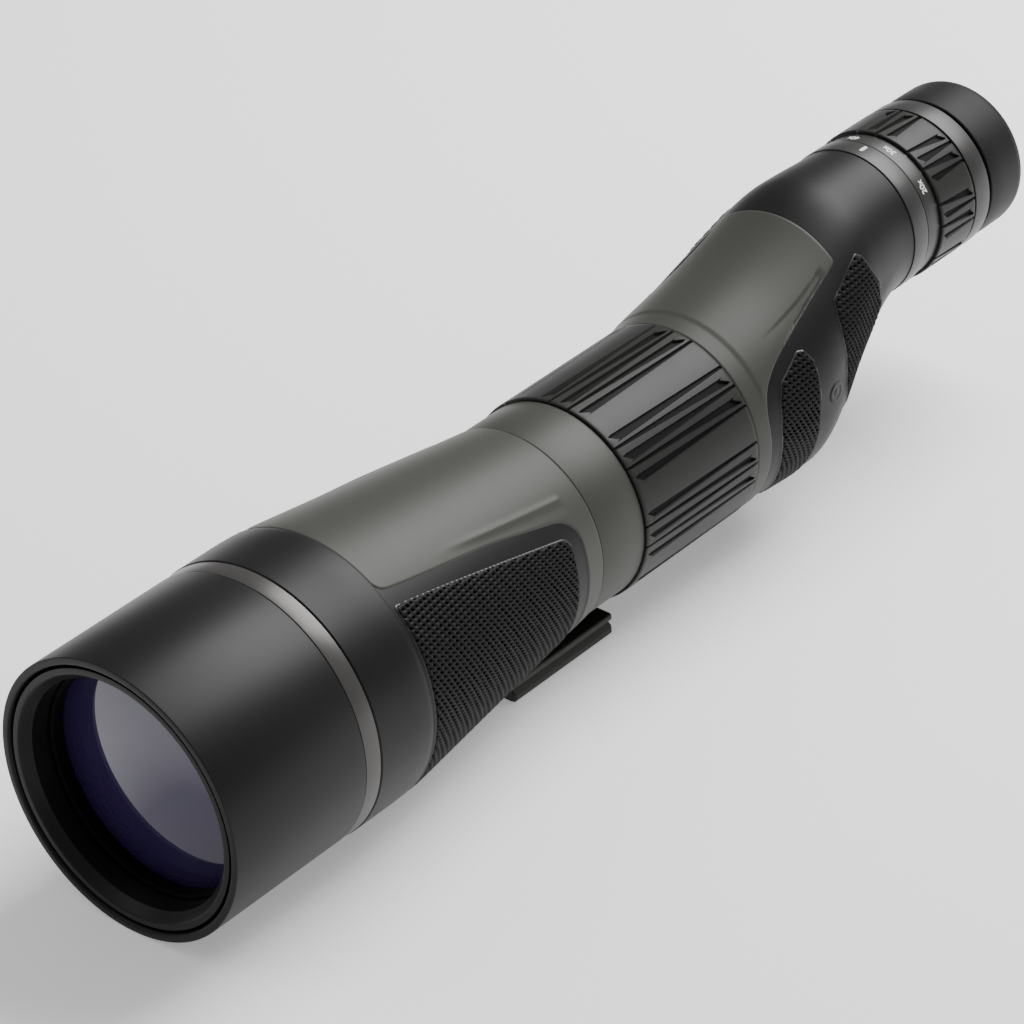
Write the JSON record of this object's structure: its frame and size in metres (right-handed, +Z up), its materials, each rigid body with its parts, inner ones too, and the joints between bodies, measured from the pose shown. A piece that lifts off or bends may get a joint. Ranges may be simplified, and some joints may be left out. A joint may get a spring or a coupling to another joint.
{
  "type": "spotting scope",
  "caption": "Straight spotting scope with a sliding sunshade, turning tripod collar with dovetail foot and lock knob, focus ring, zoom ring and twist-up eyecup.",
  "frame": {"origin": "centre of the tripod foot's flat underside", "axes": "+Z up, -Y towards the objective and +Y towards the eyepiece along the optical axis, +X to the right seen from the objective's side, looking along +Y"},
  "size_m": [0.1039, 0.4688, 0.1162],
  "materials": {
    "black_satin": "black anodised, satin",
    "black_rubber": "matte",
    "grip_rubber": "matte, fine diagonal knurl",
    "grey_armour": "smooth satin armour",
    "warm_metal": "warm grey anodised, satin",
    "grey_paint": "satin paint",
    "focus_rubber": "satin, ribbed",
    "foot_metal": "anodised, satin",
    "inner_black": "matte black anodised",
    "steel": "satin",
    "brass": "satin",
    "glass": "coated",
    "felt": "matte felt"
  },
  "bodies": {
    "mount": {"mount_collar": "grey_paint", "foot_plate": "foot_metal", "foot_screw_front": "steel", "foot_screw_rear": "steel", "tripod_bushing": "brass", "brake_shoe": "felt"},
    "lock_knob": {"lock_knob": "grip_rubber", "lock_stud": "steel"},
    "scope_tube": {"main_barrel": "black_satin", "front_tube": "black_satin", "sunshade_guide_ring": "felt", "name_band": "warm_metal", "objective_bezel": "black_satin", "objective_cell": "inner_black", "objective_retaining_ring": "inner_black", "objective_seal": "black_rubber", "objective_lens_front": "glass", "objective_lens_middle": "glass", "objective_lens_rear": "glass", "lens_spacer": "inner_black", "stray_light_baffle": "inner_black", "barrel_armour": "black_rubber", "barrel_top_saddle": "grey_armour", "barrel_grip_left": "grip_rubber", "barrel_grip_right": "grip_rubber", "prism_housing": "black_satin", "housing_armour": "black_rubber", "housing_top_panel": "grey_armour", "front_grip_left": "grip_rubber", "front_grip_right": "grip_rubber", "rear_grip_left": "grip_rubber", "rear_grip_right": "grip_rubber", "badge_disc_left": "warm_metal", "badge_disc_right": "warm_metal", "prism_plate": "inner_black", "prism_front": "glass", "prism_rear": "glass", "prism_strap_front": "steel", "prism_strap_rear": "steel", "index_ring": "warm_metal", "eyepiece_rear_ring": "warm_metal", "eyepiece_barrel": "inner_black", "field_stop": "inner_black", "eye_lens": "glass"},
    "sunshade": {"sunshade": "black_satin"},
    "focus_ring": {"focus_ring_core": "black_satin", "focus_grip": "focus_rubber"},
    "focusing_group": {"focusing_cell": "inner_black", "focusing_lens": "glass", "focus_drive_pin": "steel"},
    "zoom_ring": {"zoom_ring": "black_satin", "zoom_grip": "focus_rubber", "zoom_cam_sleeve": "inner_black"},
    "zoom_front_group": {"zoom_front_cell": "brass", "zoom_front_lens": "glass"},
    "zoom_rear_group": {"zoom_rear_cell": "brass", "zoom_rear_lens": "glass"},
    "eyecup_guide": {"eyecup_guide_ring": "inner_black"},
    "eyecup": {"eyecup_sleeve": "inner_black", "eyecup_rubber": "black_rubber"}
  },
  "joints": [
    {"name": "collar_turn", "type": "hinge", "parent": "mount", "child": "scope_tube", "pos_m": [0, 0.0101, 0.0518], "axis": [0, 1, 0], "continuous": true},
    {"name": "lock_turn", "type": "hinge", "parent": "mount", "child": "lock_knob", "pos_m": [-0.04078, 0.0101, 0.03278], "axis": [-0.9063, 0, -0.4226], "range_deg": [0, 300]},
    {"name": "sunshade_slide", "type": "slide", "parent": "scope_tube", "child": "sunshade", "axis": [0, -1, 0], "range_m": [0, 0.045]},
    {"name": "focus_turn", "type": "hinge", "parent": "scope_tube", "child": "focus_ring", "pos_m": [0, 0.054, 0.0518], "axis": [0, 1, 0], "range_deg": [-170, 170]},
    {"name": "focus_travel", "type": "slide", "parent": "scope_tube", "child": "focusing_group", "axis": [0, 1, 0], "range_m": [-0.0076, 0.0076]},
    {"name": "zoom_turn", "type": "hinge", "parent": "scope_tube", "child": "zoom_ring", "pos_m": [0, 0.2187, 0.08586], "axis": [0, 1, 0], "range_deg": [-49.6, 77]},
    {"name": "zoom_front_travel", "type": "slide", "parent": "scope_tube", "child": "zoom_front_group", "axis": [0, 1, 0], "range_m": [-0.0027, 0.0042]},
    {"name": "zoom_rear_travel", "type": "slide", "parent": "scope_tube", "child": "zoom_rear_group", "axis": [0, -1, 0], "range_m": [-0.0027, 0.0042]},
    {"name": "eyecup_twist", "type": "hinge", "parent": "scope_tube", "child": "eyecup_guide", "pos_m": [0, 0.252, 0.08586], "axis": [0, 1, 0], "range_deg": [0, 150]},
    {"name": "eyecup_rise", "type": "slide", "parent": "eyecup_guide", "child": "eyecup", "axis": [0, 1, 0], "range_m": [0, 0.0121]}
  ],
  "couplings": [
    {"joint": "focus_travel", "follows": "focus_turn", "m_per_rad": 0.0025465},
    {"joint": "zoom_front_travel", "follows": "zoom_turn", "m_per_rad": 0.0030001},
    {"joint": "zoom_rear_travel", "follows": "zoom_turn", "m_per_rad": 0.0030001},
    {"joint": "eyecup_rise", "follows": "eyecup_twist", "m_per_rad": 0.0045837}
  ]
}
